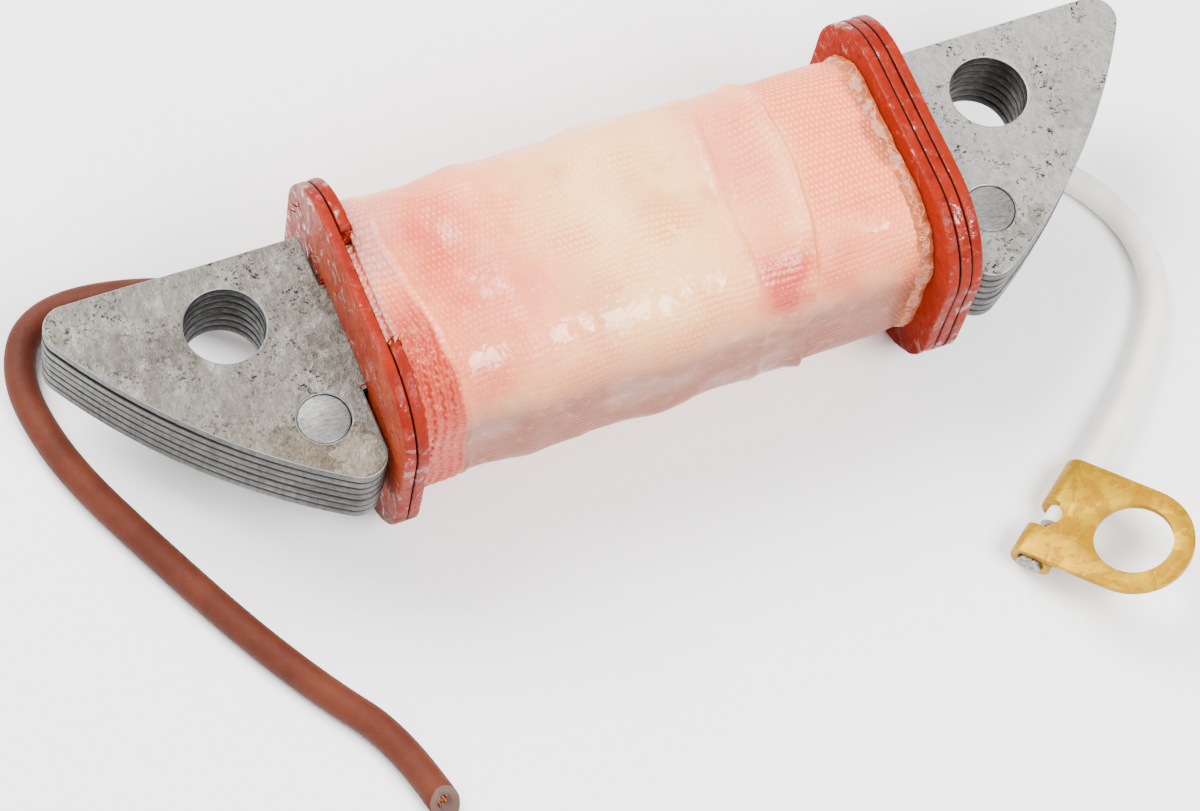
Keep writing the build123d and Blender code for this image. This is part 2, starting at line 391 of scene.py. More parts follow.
def core_steel():
    """Varnished electrical steel: mottled, pitted flats, and cut edges drawn down by the die."""
    s = Shader("core_steel")
    x, y, z = s.split(s.place)
    up = abs(s.facing()[2])
    on_top = s.span(z, STACK_TOP - 0.45, STACK_TOP - 0.25)
    outermost = s.math("MAXIMUM", on_top, s.span(z, STACK_BOTTOM + 0.25, STACK_BOTTOM + 0.45, 1.0, 0.0))
    grain = s.noise(5.0, 5, 0.7)
    colour = s.tint((0.092, 0.081, 0.066), (0.140, 0.126, 0.106), s.noise(0.22, 6, 0.62), 0.35, 0.68)
    colour = s.tint(colour, (0.058, 0.046, 0.033), s.noise(0.8, 5, 0.7), 0.5, 0.72, 0.45)
    colour = s.tint(colour, (0.19, 0.18, 0.16), grain, 0.30, 0.75, 0.30)
    colour = s.tint(colour, (0.370, 0.355, 0.330), x, 12, 24, 0.80)  # the right shoe is paler
    pale = s.noise(0.45, 4, 0.6, stretch=(1.3, 0.8, 1))
    colour = s.tint(colour, (0.270, 0.255, 0.236), pale, 0.52, 0.68, 0.50)
    patches = s.span(s.noise(0.33, 3, 0.5), 0.40, 0.62, 0.15, 1.0)
    specks = s.span(s.noise(2.1, 6, 0.72), 0.545, 0.61) * patches
    colour = s.mix(specks * 0.75, colour, (0.044, 0.029, 0.017))
    pits = s.span(s.noise(2.9, 3, 0.6), 0.60, 0.645) * patches
    colour = s.mix(pits, colour, (0.009, 0.006, 0.004))
    for centre, radius, tone, share, outline in STAINS:
        blot = s.near((*centre, STAIN_Z), radius, 0.55 + 0.8 * (1 - outline), 0.75)
        mottled = blot * s.span(s.noise(1.7, 5, 0.7), 0.36, 0.60, 0.35, 1.0)
        colour = s.mix(mottled * share, colour, tone)
        colour = s.mix(outline_of(blot) * (3.2 * share * outline), colour, (0.026, 0.017, 0.009))
    drag = s.noise(2.6, 4, 0.6, stretch=(1, 1, 0.12))
    wall = s.tint((0.050, 0.050, 0.047), (0.100, 0.100, 0.096), drag, 0.3, 0.7)
    wall = s.tint(wall, (0.026, 0.021, 0.016), s.noise(1.1, 5, 0.7), 0.56, 0.7, 0.5)
    scar = s.near((-30.2, -11.8, 10.5), 3.4, 0.5, 0.9)
    wall = s.mix(scar * 0.75, wall, (0.024, 0.018, 0.013))
    of_top_sheet = s.math("GREATER_THAN", z, STACK_TOP - SHEET_PITCH + 0.03)
    lift = of_top_sheet * s.span(x, LIFT_START - LIFT_RUN, LIFT_START, TIP_LIFT, 0.0)
    height = z - lift - (STACK_BOTTOM - 0.03)
    seam = abs(s.math("FRACT", height / SHEET_PITCH) - 0.5)
    wall = s.tint(wall, (0.010, 0.008, 0.007), seam, 0.24, 0.42, 0.93)
    aside = abs(x) - HOLE_PLACE[0]
    beside = y - HOLE_PLACE[1]
    from_hole = s.math("SQRT", aside * aside + beside * beside)
    # painted shade: the walls of the holes are darkened as if shade fell in them
    hole_shade = s.span(from_hole, HOLE_RADIUS + 0.1, HOLE_RADIUS + 0.4, 0.78, 0.0)
    wall = s.mix(hole_shade, wall, (0.010, 0.009, 0.008))
    colour = s.mix(s.span(up, 0.55, 0.8) * outermost, wall, colour)
    # painted highlight: a pale bluish band on the bevels along the top sheet's edges
    rim = s.span(up, 0.2, 0.35) * s.span(up, 0.90, 0.98, 1.0, 0.0)
    rim = rim * s.span(z, STACK_TOP - 0.2, STACK_TOP - 0.1)
    colour = s.mix(rim * 0.8, colour, (0.36, 0.375, 0.40))
    rough = s.span(s.noise(1.3, 5, 0.65), 0.3, 0.7, 0.34, 0.58) + specks * 0.25
    relief = grain * 0.35 - pits * 0.9
    normal = s.bump(relief, 0.06, s.bump(s.noise(1.0, 4, 0.6), 0.12))
    s.set(Base_Color=colour, Metallic=0.55, Roughness=rough, Normal=normal)
    return s.set(Coat_Weight=0.10, Coat_Roughness=0.25)


def rivet_steel():
    s = Shader("rivet_steel")
    streaks = s.noise(2.2, 5, 0.65, stretch=(0.5, 2.2, 1))
    colour = s.tint((0.110, 0.110, 0.106), (0.200, 0.199, 0.193), streaks, 0.3, 0.7)
    colour = s.tint(colour, (0.060, 0.052, 0.042), s.noise(3.5, 4, 0.6), 0.57, 0.66, 0.6)
    rough = s.span(s.noise(3.0, 4), 0.3, 0.7, 0.36, 0.56)
    s.set(Base_Color=colour, Metallic=0.5, Roughness=rough, Normal=s.bump(streaks, 0.05))
    return s.set(Coat_Weight=0.2, Coat_Roughness=0.2)


def red_fibre():
    """Vulcanised fibre: orange red, brighter where it was cut, under runs of varnish with painted glints,
    and with painted shade low down.
    """
    s = Shader("red_fibre")
    x, _, z = s.split(s.place)
    facing_out = s.facing()[0] * s.math("SIGN", x)
    outward = s.span(facing_out, 0.6, 0.9)
    inward = s.span(facing_out, -0.9, -0.6, 1.0, 0.0)
    cloud = s.noise(0.35, 6, 0.6)
    fibres = s.noise(2.4, 5, 0.7, stretch=(1.0, 0.35, 0.35))
    rim = s.tint((0.165, 0.0050, 0.0004), (0.215, 0.0115, 0.0016), cloud, 0.3, 0.7)
    rim = s.tint(rim, (0.27, 0.022, 0.005), fibres, 0.45, 0.75, 0.35)
    face = s.tint((0.260, 0.024, 0.0055), (0.340, 0.048, 0.0145), cloud, 0.35, 0.65)
    colour = s.mix(outward * 0.85, rim, face)
    colour = s.mix(inward * 0.8, colour, (0.250, 0.0125, 0.0006))
    colour = s.tint(colour, (0.090, 0.0030, 0.0010), s.noise(0.9, 5, 0.7), 0.55, 0.68, 0.55)
    # runs of varnish film: their coat is real gloss, and their paler colour is a painted glint
    varnish_film_and_glint = s.span(s.noise(0.75, 5, 0.7, distortion=0.6), 0.57, 0.60)
    colour = s.mix(varnish_film_and_glint * 0.12, colour, (0.36, 0.085, 0.050))
    flake = s.near((-24.7, 9.8, 19.2), 2.0, 0.5, 1.1)
    colour = s.mix(flake * 0.6, colour, (0.30, 0.080, 0.055))
    colour = s.mix(outline_of(flake) * 3.4, colour, (0.085, 0.0020, 0.0008))
    # painted shade: darker towards the floor, below the core's shoes
    colour = s.mix(s.span(z, 1.5, 8.0, 0.8, 0.0), colour, (0.070, 0.0025, 0.0010))
    for distance in (abs(abs(x) - PLATE_JOINTS[0]), abs(x - PLATE_JOINTS[1])):
        colour = s.mix(s.span(distance, 0.05, 0.13, 0.93, 0.0), colour, (0.010, 0.0020, 0.0015))
    rough = s.span(s.noise(1.2, 4, 0.6), 0.35, 0.65, 0.40, 0.62) + inward * 0.3
    s.set(Base_Color=colour, Roughness=rough, Specular_IOR_Level=0.08)
    s.set(Normal=s.bump(fibres, 0.05, s.bump(s.noise(0.7, 4, 0.6), 0.16)))
    coat = s.math("MAXIMUM", (1.0 - inward) * 0.08, varnish_film_and_glint * (1.0 - inward * 0.6))
    return s.set(Coat_Weight=coat, Coat_Roughness=0.07, Coat_Normal=s.bump(s.noise(0.6, 4, 0.6), 0.22))


def cloth_tape():
    """Woven tape soaked in clear varnish. Its colour, threads and wetness are stored on the mesh."""
    s = Shader("cloth_tape")
    along, around, show = s.split(s.stored("thread", "Vector"))
    wet = s.stored("wet")
    turns = around / WEAVE_ROW
    alternate = s.math("FLOOR", turns + 0.5) * 0.5
    columns = s.wave(along / WEAVE_COLUMN + alternate) * 0.8 + 0.2
    knots = s.wave(turns) ** 0.7 * columns
    groove = (1.0 - knots) * show
    between = s.span(groove, 0.2, 0.9, 0.0, 0.9)
    colour = s.mix(between, s.stored("tone", "Vector"), (0.90, 0.45, 0.30), "MULTIPLY")
    colour = s.tint(colour, (0.97, 0.46, 0.19), s.noise(0.9, 5, 0.65), 0.5, 0.75, 0.25)
    bruises = s.noise(0.5, 5, 0.7, distortion=0.8)
    colour = s.tint(colour, (0.62, 0.13, 0.075), bruises, 0.56, 0.70, 0.25)
    colour = s.tint(colour, (0.05, 0.02, 0.012), s.noise(1.6, 2, 0.5), 0.775, 0.80)
    yarn = s.noise(9.0, 3, 0.7, stretch=(0.35, 1, 1))
    cloth = s.bump(yarn, 0.020, s.bump(1.0 - groove, 0.09))
    runs = s.bump(s.noise(1.1, 4, 0.55, distortion=0.5), 0.10, s.bump(s.noise(0.35, 3, 0.5), 0.25))
    glaze = s.bump((1.0 - groove) * (1.0 - wet), 0.13, runs)
    s.set(Base_Color=colour, Roughness=s.span(yarn, 0.3, 0.7, 0.42, 0.62), Normal=cloth)
    s.set(Specular_IOR_Level=0.3, Coat_Weight=s.span(wet, 0.0, 0.8, 0.38, 1.0), Coat_IOR=1.5)
    s.set(Coat_Roughness=s.span(wet, 0.4, 0.9, 0.20, 0.06), Coat_Normal=glaze)
    return s.set(Subsurface_Weight=0.15, Subsurface_Scale=0.0005, Subsurface_Radius=(1.0, 0.45, 0.3))


def clear_varnish(name, tone, thickness):
    s = Shader(name)
    lumps = s.noise(1.4, 5, 0.65)
    s.set(Base_Color=s.tint(tone, scaled(tone, 1.7), lumps, 0.35, 0.65), Roughness=0.40)
    s.set(Specular_IOR_Level=0.15, Coat_Weight=0.45, Coat_Roughness=0.12)
    return s.set(Normal=s.bump(lumps, thickness))


def lead_insulation(name, dark, light, rough, sheen=0.0):
    s = Shader(name)
    colour = s.tint(dark, light, s.noise(0.25, 5, 0.6), 0.3, 0.7)
    colour = s.tint(colour, scaled(light, 1.4, 0.02), s.noise(1.6, 6, 0.75), 0.60, 0.70, 0.30)
    colour = s.tint(colour, scaled(dark, 0.5), s.noise(3.2, 5, 0.7), 0.62, 0.72, 0.35)
    fine = s.noise(6.0, 4, 0.6)
    s.set(Base_Color=colour, Roughness=s.span(fine, 0.3, 0.7, rough - 0.06, rough + 0.08))
    s.set(Specular_IOR_Level=0.15, Sheen_Weight=sheen)
    return s.set(Normal=s.bump(fine, 0.02, s.bump(s.noise(0.8, 4), 0.10)))


def brass():
    """Stamped brass, stained in patches with darker outlines."""
    s = Shader("brass")
    cloud = s.noise(0.45, 6, 0.6, distortion=0.4)
    colour = s.tint((0.350, 0.170, 0.0008), (0.440, 0.250, 0.0025), cloud, 0.35, 0.65)
    blot = s.span(s.noise(0.42, 6, 0.62, distortion=0.9), 0.53, 0.56)
    colour = s.mix(blot * 0.45, colour, (0.245, 0.112, 0.0006))
    colour = s.mix(outline_of(blot) * 2.4, colour, (0.180, 0.075, 0.0010))
    colour = s.tint(colour, (0.170, 0.070, 0.0010), s.noise(2.6, 4, 0.7), 0.64, 0.70, 0.6)
    scratches = s.noise(5.0, 3, 0.6, stretch=(0.25, 1.4, 1.0))
    rough = s.span(s.noise(1.2, 5), 0.3, 0.7, 0.40, 0.50) + blot * 0.08
    s.set(Base_Color=colour, Metallic=0.5, Roughness=rough, Specular_IOR_Level=0.1)
    return s.set(Normal=s.bump(scratches, 0.008, s.bump(s.noise(0.5, 3), 0.02)))


def plain_metal(name, dark, light, rough):
    s = Shader(name)
    s.set(Base_Color=s.tint(dark, light, s.noise(2.0, 5, 0.65), 0.35, 0.65), Metallic=1.0)
    s.set(Roughness=s.span(s.noise(3.0, 4), 0.3, 0.7, rough - 0.1, rough + 0.1))
    return s.set(Normal=s.bump(s.noise(4.0, 4), 0.03))


def wound_wire():
    """Fine turns of enamelled wire, side by side along the limb."""
    s = Shader("enamelled_wire")
    turns = abs(s.math("SINE", s.split(s.place)[0] * (math.pi / WIRE_PITCH)))
    # painted light: the colour runs dark between the turns and pale on their crowns, as shade and
    # highlight
    s.set(Base_Color=s.tint((0.30, 0.10, 0.03), (0.62, 0.26, 0.09), turns, 0, 1), Metallic=0.7)
    return s.set(Roughness=0.32, Coat_Weight=0.6, Normal=s.bump(turns, 0.06))


def kraft_paper():
    s = Shader("insulating_paper")
    fibres = s.noise(3.0, 6, 0.75, stretch=(0.4, 1, 1))
    colour = s.tint((0.50, 0.38, 0.22), (0.66, 0.54, 0.35), fibres, 0.3, 0.7)
    return s.set(Base_Color=colour, Roughness=0.7, Normal=s.bump(fibres, 0.03))


def glass_sleeving():
    s = Shader("splice_sleeving")
    braid = s.node("TexVoronoi", "Distance", {"Vector": s.place, "Scale": 3.0})
    colour = s.tint((0.72, 0.60, 0.36), (0.86, 0.78, 0.55), braid, 0.0, 0.6)
    return s.set(Base_Color=colour, Roughness=0.45, Coat_Weight=0.4, Normal=s.bump(braid, 0.05))


def floor_material():
    s = Shader("floor")
    colour = s.tint((0.93, 0.93, 0.93), (0.95, 0.95, 0.95), s.noise(0.02, 3), 0.4, 0.6)
    return s.set(Base_Color=colour, Roughness=0.85, Specular_IOR_Level=0.2)


# ---- stage ----
FLOOR_HALF = 900


def area_light(name, direction, distance, size, energy, size_y=None):
    data = bpy.data.lights.new(name, "AREA")
    applied(data, shape="RECTANGLE", size=size, size_y=size_y or size, energy=energy)
    light = linked(name, data)
    light.location = Vector(direction).normalized() * distance
    light.rotation_euler = (-Vector(direction)).to_track_quat("-Z", "Y").to_euler()


def make_stage():
    corners = [(x * FLOOR_HALF, y * FLOOR_HALF, 0) for x, y in ((-1, -1), (1, -1), (1, 1), (-1, 1))]
    floor = linked("floor", mesh_of("floor", corners, [(0, 1, 2, 3)], False))
    floor.data.materials.append(floor_material())
    area_light("key", (0.27, -0.55, 0.80), 0.45, 0.25, 4.2, 0.18)
    area_light("overhead", (-0.30, 0.55, 0.80), 0.55, 0.34, 8.2)
    area_light("side", (-0.9, -0.1, 0.55), 0.6, 0.30, 0.8)
    world = bpy.data.worlds.new("world")
    bpy.context.scene.world = world
    world.use_nodes = True
    sky = world.node_tree.nodes["Background"]
    sky.inputs["Color"].default_value = (1, 1, 1, 1)
    sky.inputs["Strength"].default_value = 0.72


make_stage()

# ---- leads ----
# the same points as the CAD routes
BROWN_ROUTE = [
    (-17.5, 7.2, 5.2),
    (-23.4, 7.2, 5.2),
    (-26.6, 7.7, 5.0),
    (-29.4, 10.3, 4.1),
    (-33.5, 13.5, 2.9),
    (-38.1, 15.4, 1.9),
    (-42.7, 16.1, 1.3),
    (-45.8, 14.9, 1.3),
    (-47.4, 12.1, 1.3),
    (-47.8, 8.2, 1.3),
    (-46.4, 1.7, 1.3),
    (-42.7, -6.4, 1.3),
    (-38.2, -15.6, 1.3),
    (-34.0, -22.7, 1.3),
    (-30.1, -28.0, 1.3),
    (-28.8, -33.4, 1.3),
]
WHITE_ROUTE = [
    (17.5, 6.9, 5.2),
    (23.2, 6.9, 5.2),
    (26.6, 6.7, 4.8),
    (32.0, 6.0, 3.3),
    (37.2, 4.6, 1.9),
    (41.6, 1.5, 1.2),
    (44.6, -2.7, 1.2),
    (45.9, -7.3, 1.2),
    (45.1, -12.2, 1.2),
    (42.3, -16.5, 1.2),
    (38.3, -20.5, 1.5),
    (34.3, -23.8, 1.84),
    (30.56, -26.69, 1.86),
    (26.88, -29.45, 1.86),
]
BROWN_DIAMETER = 2.6
WHITE_DIAMETER = 2.4
CUT_SLANT = 38  # degrees
CUT_BORE = 0.62
CUT_PROUD = 0.004  # how much wider the cut piece is, so that it covers the lead's end


def nurbs(name, route, diameter, resolution=16):
    curve = bpy.data.curves.new(name, "CURVE")
    curve.dimensions = "3D"
    spline = curve.splines.new("NURBS")
    spline.points.add(len(route) - 1)
    for point, place in zip(spline.points, route):
        point.co = (*(Vector(place) * MM), 1)
    applied(spline, order_u=3, use_endpoint_u=True, resolution_u=resolution)
    return applied(curve, bevel_depth=diameter / 2 * MM, bevel_resolution=10, use_fill_caps=True)


def centreline(route):
    """Points along a route's smooth line, in millimetres."""
    probe = linked("probe", nurbs("probe", route, 0.0, 10))
    mesh = bpy.data.meshes.new_from_object(probe)
    points = np.array([v.co for v in mesh.vertices]) / MM
    bpy.data.objects.remove(probe)
    bpy.data.meshes.remove(mesh)
    return points


def frames_along(points):
    """A tangent and two steady cross directions at every point."""
    tangents = np.gradient(points, axis=0)
    tangents /= np.linalg.norm(tangents, axis=1)[:, None]
    side = np.cross(tangents, (0.0, 0.0, 1.0))
    side /= np.linalg.norm(side, axis=1)[:, None]
    return tangents, side, np.cross(side, tangents)


def tube(path, radius, sides):
    """Points and faces of a closed tube round a path."""
    side, over = frames_along(path)[1:]
    angles = np.linspace(0, ROUND, sides, endpoint=False)[:, None]
    radius = np.broadcast_to(radius, len(path))
    ring = side[:, None] * np.cos(angles) + over[:, None] * np.sin(angles)
    points = (path[:, None] + ring * radius[:, None, None]).reshape(-1, 3)
    faces = grid_faces(len(path), sides, closed_columns=True)[:, ::-1].tolist()
    faces.append(list(range(sides)))
    faces.append(list(range(len(points) - 1, len(points) - sides - 1, -1)))
    return points, faces


def merged(parts):
    """Several (points, faces) as one."""
    faces, start = [], 0
    for points, some_faces in parts:
        faces += [[i + start for i in face] for face in some_faces]
        start += len(points)
    return np.concatenate([points for points, _ in parts]), faces


def strand_offsets(wire):
    """Places of a middle strand and rings of 6 and 12 round it."""
    places = [(0.0, 0.0)]
    for ring in (1, 2):
        reach = ring * wire * 1.03
        for k in range(6 * ring):
            turn = ROUND * (k + 0.35 * ring) / (6 * ring)
            places.append((reach * math.cos(turn), reach * math.sin(turn)))
    return places


def twisted_strands(path, wire, lay, extra):
    """Bare strands twisted round a path. extra lets their ends stand out unevenly."""
    tangents, side, over = frames_along(path)
    travelled = np.concatenate([[0], np.cumsum(np.linalg.norm(np.diff(path, axis=0), axis=1))])
    made = []
    for number, (a, b) in enumerate(strand_offsets(wire)):
        turn = ROUND * travelled / lay
        u = a * np.cos(turn) - b * np.sin(turn)
        v = a * np.sin(turn) + b * np.cos(turn)
        strand = path + side * u[:, None] + over * v[:, None]
        stick_out = extra * (0.35 + 0.65 * ((number * 7) % 10) / 9)
        strand = np.vstack([strand, strand[-1] + tangents[-1] * stick_out])
        made.append(tube(strand, wire / 2, 6))
    return merged(made)


def slanted_cut(path, radius):
    """The last of the insulation, cut off at a slant that faces up. Its face is the second material."""
    sides = 48
    along, side, over = (directions[-1] for directions in frames_along(path))
    angles = np.linspace(0, ROUND, sides, endpoint=False)
    slope = math.tan(math.radians(CUT_SLANT))
    uneven = 0.05 * lattice_noise(angles, 0, 0.5, 33)
    rings = []
    mouth = ((0.96 * radius, -0.03), (CUT_BORE, 0.02), (0.9 * CUT_BORE, 0.9))
    for size, depth in ((radius, None), (radius, 0.0), *mouth):
        across = np.outer(size * np.cos(angles), side) + np.outer(size * np.sin(angles), over)
        if depth is None:
            reach = np.full(sides, -0.4)
        else:
            reach = (radius - size * np.sin(angles)) * slope - depth + uneven
        rings.append(path[-1] + across + np.outer(reach, along))
    faces = grid_faces(len(rings), sides, closed_columns=True)[:, ::-1].tolist()
    last_ring = (len(rings) - 1) * sides
    faces.append(list(range(last_ring, last_ring + sides))[::-1])
    mesh = mesh_of("brown_lead_cut", np.concatenate(rings), faces)
    for face in list(mesh.polygons)[sides:]:
        face.material_index = 1
    return mesh


def make_brown_lead():
    dark, light = (0.066, 0.0135, 0.0062), (0.094, 0.0210, 0.0092)
    insulation = lead_insulation("brown_insulation", dark, light, 0.62)
    cut_face = lead_insulation("cut_insulation", (0.080, 0.044, 0.034), (0.125, 0.075, 0.060), 0.6)
    lead = new_piece("brown_lead_insulation", nurbs("brown_lead", BROWN_ROUTE, BROWN_DIAMETER),
                     insulation, "brown_insulation", ["brown_lead"])
    copper = plain_metal("bare_strands", (0.12, 0.03, 0.015), (0.42, 0.14, 0.06), 0.35)
    path = centreline(BROWN_ROUTE)
    strands = mesh_piece("brown_strands", *twisted_strands(path, 0.22, 14, 1.0), copper, "bare_strands",
                         ["brown_lead_strands"])
    end = slanted_cut(path, BROWN_DIAMETER / 2 + CUT_PROUD)
    cut = new_piece("brown_lead_cut", end, insulation, "brown_insulation")
    end.materials.append(cut_face)


def make_white_lead():
    insulation = lead_insulation("white_insulation", (0.80, 0.76, 0.69), (0.90, 0.87, 0.81), 0.48, 0.02)
    lead = new_piece("white_lead_insulation", nurbs("white_lead", WHITE_ROUTE, WHITE_DIAMETER),
                     insulation, "white_insulation", ["white_lead"])


make_brown_lead()
make_white_lead()

# ---- CAD nodes that stay ----
def dress(node, material, round_edges=0.0, segments=2):
    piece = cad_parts[node]
    piece.data.materials.clear()
    piece.data.materials.append(material)
    piece.data.polygons.foreach_set("use_smooth", [True] * len(piece.data.polygons))
    if round_edges:
        soften(piece, round_edges, segments)


RIVET_STEEL = rivet_steel()
for node in ("rivet_left", "rivet_right"):
    dress(node, RIVET_STEEL, 0.16)
dress("ring_terminal", brass(), 0.10, 3)
dress("white_lead_strands", plain_metal("tinned_strands", (0.10, 0.09, 0.08), (0.32, 0.31, 0.29), 0.38))
paper = kraft_paper()
dress("limb_sleeve", paper)
dress("insulation_film", paper)
dress("copper_winding", wound_wire())
for colour in ("brown", "white"):
    dress(f"{colour}_splice_sleeve", glass_sleeving())
    dress(f"{colour}_solder_joint", plain_metal("solder", (0.14, 0.14, 0.14), (0.32, 0.32, 0.32), 0.34))

# ---- core ----
POLE_RADIUS = 54.75
POLE_CENTRE_Y = 35.25
SHOE_BACK_Y = 9.45
SHOE_INNER_X = 25.1
CORNER = 2.05
HEEL = 0.5
SHEET_ROUNDING = 0.13
SHEET_SHIFT = 0.045  # how far the sheets lie out of line
RIVET_PLACE = (28.8, -6.2)
RIVET_HOLE_RADIUS = 2.15


def right_half_outline():
    """From the limb's lower edge round the right shoe to its upper edge, anticlockwise."""
    inner = POLE_RADIUS - CORNER
    toe = (SHOE_INNER_X + CORNER, POLE_CENTRE_Y - math.sqrt(inner**2 - (SHOE_INNER_X + CORNER) ** 2))
    tip = (math.sqrt(inner**2 - (POLE_CENTRE_Y - SHOE_BACK_Y + CORNER) ** 2), SHOE_BACK_Y - CORNER)
    heading = [math.degrees(math.atan2(y - POLE_CENTRE_Y, x)) for x, y in (toe, tip)]
    heel = (SHOE_INNER_X + HEEL, SHOE_BACK_Y - HEEL)
    outline = [(SHOE_INNER_X, -LIMB_HALF_Y)]
    outline += arc(toe, CORNER, 180, heading[0] + 360, 0.25)
    outline += arc((0, POLE_CENTRE_Y), POLE_RADIUS, heading[0], heading[1], 0.6)
    outline += arc(tip, CORNER, heading[1], 90, 0.25)
    outline += arc(heel, HEEL, 90, 180, 0.1)
    outline += [(SHOE_INNER_X, LIMB_HALF_Y)]
    return outline


def sheet_outlines():
    right = right_half_outline()
    left = [(-x, y) for x, y in right[::-1]]
    loops = [subdivided(right + left, 0.8)]
    for side in (1, -1):
        loops.append(arc((side * HOLE_PLACE[0], HOLE_PLACE[1]), HOLE_RADIUS, 360, 0, 0.25))
        loops.append(arc((side * RIVET_PLACE[0], RIVET_PLACE[1]), RIVET_HOLE_RADIUS, 360, 0, 0.25))
    return loops


def make_core():
    steel = core_steel()
    loops = sheet_outlines()
    random = np.random.default_rng(17)
    for number in range(1, 8):
        points, faces = flat_plate(loops, SHEET_THICKNESS, SHEET_ROUNDING)
        points[:, :2] += random.uniform(-SHEET_SHIFT, SHEET_SHIFT, 2)
        points[:, 2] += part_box(f"lamination_{number}")[0].z / MM
        mesh = mesh_of(f"core_sheet_{number}", points, faces)
        if number == 1:
            lift_tip(mesh)
        new_piece(f"core_sheet_{number}", mesh, steel, "core_steel", [f"lamination_{number}"])


def lift_tip(mesh):
    """Bends the left tip of a sheet upwards, after cutting its faces across so that it bends evenly."""
    work = bmesh.new()
    work.from_mesh(mesh)
    for x in np.arange(LIFT_START, LIFT_START - LIFT_RUN, -LIFT_CUTS):
        parts = work.verts[:] + work.edges[:] + work.faces[:]
        bmesh.ops.bisect_plane(work, geom=parts, dist=1e-7, plane_co=(x * MM, 0, 0), plane_no=(1, 0, 0))
    for vertex in work.verts:
        share = float(smooth((LIFT_START - vertex.co.x / MM) / LIFT_RUN))
        vertex.co.z += TIP_LIFT * share * MM
    work.to_mesh(mesh)
    work.free()


def make_burrs():
    """The thin burr that upsetting the rivets pushed up round their holes, on part of each ring."""
    made = []
    count = 60
    radius = RIVET_HOLE_RADIUS + 0.05
    for side, start, end in ((-1, 150, 330), (-1, -20, 75), (1, 130, 290), (1, -60, 60)):
        angles = np.radians(np.linspace(start, end, count))
        path = np.column_stack([
            side * RIVET_PLACE[0] + radius * np.cos(angles),
            RIVET_PLACE[1] + radius * np.sin(angles),
            np.full(count, STACK_TOP - 0.02),
        ])
        made.append(tube(path, 0.005 + 0.085 * np.sin(np.linspace(0, math.pi, count)) ** 0.7, 8))
    mesh_piece("rivet_burrs", *merged(made), RIVET_STEEL, "core_steel")


# ---- flanges ----
FLANGE_HALF_WIDTH = 12.85
FLANGE_HALF_HEIGHT = 11.3
FLANGE_CORNER = 7.2
SLOT_HALF_WIDTH = 4.85
SLOT_HALF_HEIGHT = 3.73
PLATE_THICKNESS = 1.0
PLATE_ROUNDING = 0.17
EDGE_STEP = 0.22  # between the points of a plate's edge
LEAD_HOLE_Y = {"left": 7.2, "right": 6.9}
LEAD_HOLE_Z = 5.2
LEAD_HOLE_RADIUS = 1.65
RED_FIBRE = red_fibre()


def flange_outline(slot):
    """In the plane of Y and Z, anticlockwise. slot is where the plate's slot opens: down, up or back."""
    r = FLANGE_CORNER
    y, z = FLANGE_HALF_WIDTH - r, FLANGE_HALF_HEIGHT - r
    corners = [arc((a * y, b * z), r, start, start + 90, 0.4)
               for a, b, start in ((1, -1, 270), (1, 1, 0), (-1, 1, 90), (-1, -1, 180))]
    w, h = SLOT_HALF_WIDTH, SLOT_HALF_HEIGHT
    if slot == "back":
        edge = FLANGE_HALF_WIDTH
        return sum(corners[1:] + corners[:1], [(edge, -h), (-w, -h), (-w, h), (edge, h)])
    edge = -FLANGE_HALF_HEIGHT
    outline = sum(corners, [(-w, edge), (-w, h), (w, h), (w, edge)])
    return [(a, -b) for a, b in outline[::-1]] if slot == "up" else outline


def worn(outline, seed, torn=()):
    """The outline with a slightly uneven edge, and ragged near the torn places: (y, z, radius, depth)."""
    outline = np.array(subdivided(outline, EDGE_STEP))
    travelled = np.arange(len(outline)) * EDGE_STEP
    depth = 0.05 + 0.04 * lattice_noise(travelled, 0, 3.4, seed)
    depth = depth + 0.008 * lattice_noise(travelled, 0, 0.7, seed + 7)
    for y, z, radius, deep in torn:
        near = np.exp(-((outline[:, 0] - y) ** 2 + (outline[:, 1] - z) ** 2) / radius**2)
        rag = 0.5 + 0.5 * lattice_noise(travelled, 3.3, 0.45, seed + 9)
        depth = depth + near * deep * rag
    return outline + inward_of(outline) * depth[:, None]


def make_flanges():
    plates = (
        ("left_flange_outer", "down", [(4.8, 3.7, 1.2, 0.3), (-4.85, -10.5, 1.2, 0.5)]),
        ("left_flange_inner", "up", [(4.9, 10.9, 1.3, 0.7), (-4.9, 10.9, 1.0, 0.6)]),
        ("right_flange_outer", "down", [(-11, 5, 2.0, 0.2)]),
        ("right_flange_middle", "back", [(2, 11.3, 2.0, 0.12)]),
        ("right_flange_inner", "down", [(-9.5, -9.0, 2.0, 0.3)]),
    )
    for seed, (node, slot, torn) in enumerate(plates):
        hole_centre = (LEAD_HOLE_Y[node.split("_")[0]], LEAD_HOLE_Z - MID_Z)
        hole = arc(hole_centre, LEAD_HOLE_RADIUS, 360, 0, 0.25)
        outline = worn(flange_outline(slot), 80 + 5 * seed, torn)
        points, faces = flat_plate([outline, hole], PLATE_THICKNESS, PLATE_ROUNDING)
        points[:, 1] = np.clip(points[:, 1], -FLANGE_HALF_HEIGHT, FLANGE_HALF_HEIGHT)
        bow = 0.05 * cloudy(points[:, 0], points[:, 1], 7.0, 90 + seed)
        x = points[:, 2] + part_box(node)[0].x / MM + bow
        upright = np.column_stack([x, points[:, 0], points[:, 1] + MID_Z])
        mesh_piece(f"fibre_{node}", upright, faces, RED_FIBRE, "red_fibre", [node])


# ---- winding ----
TAPE_START = -22.72
TAPE_END = 21.58
TAPE_BOTTOM = 5.22


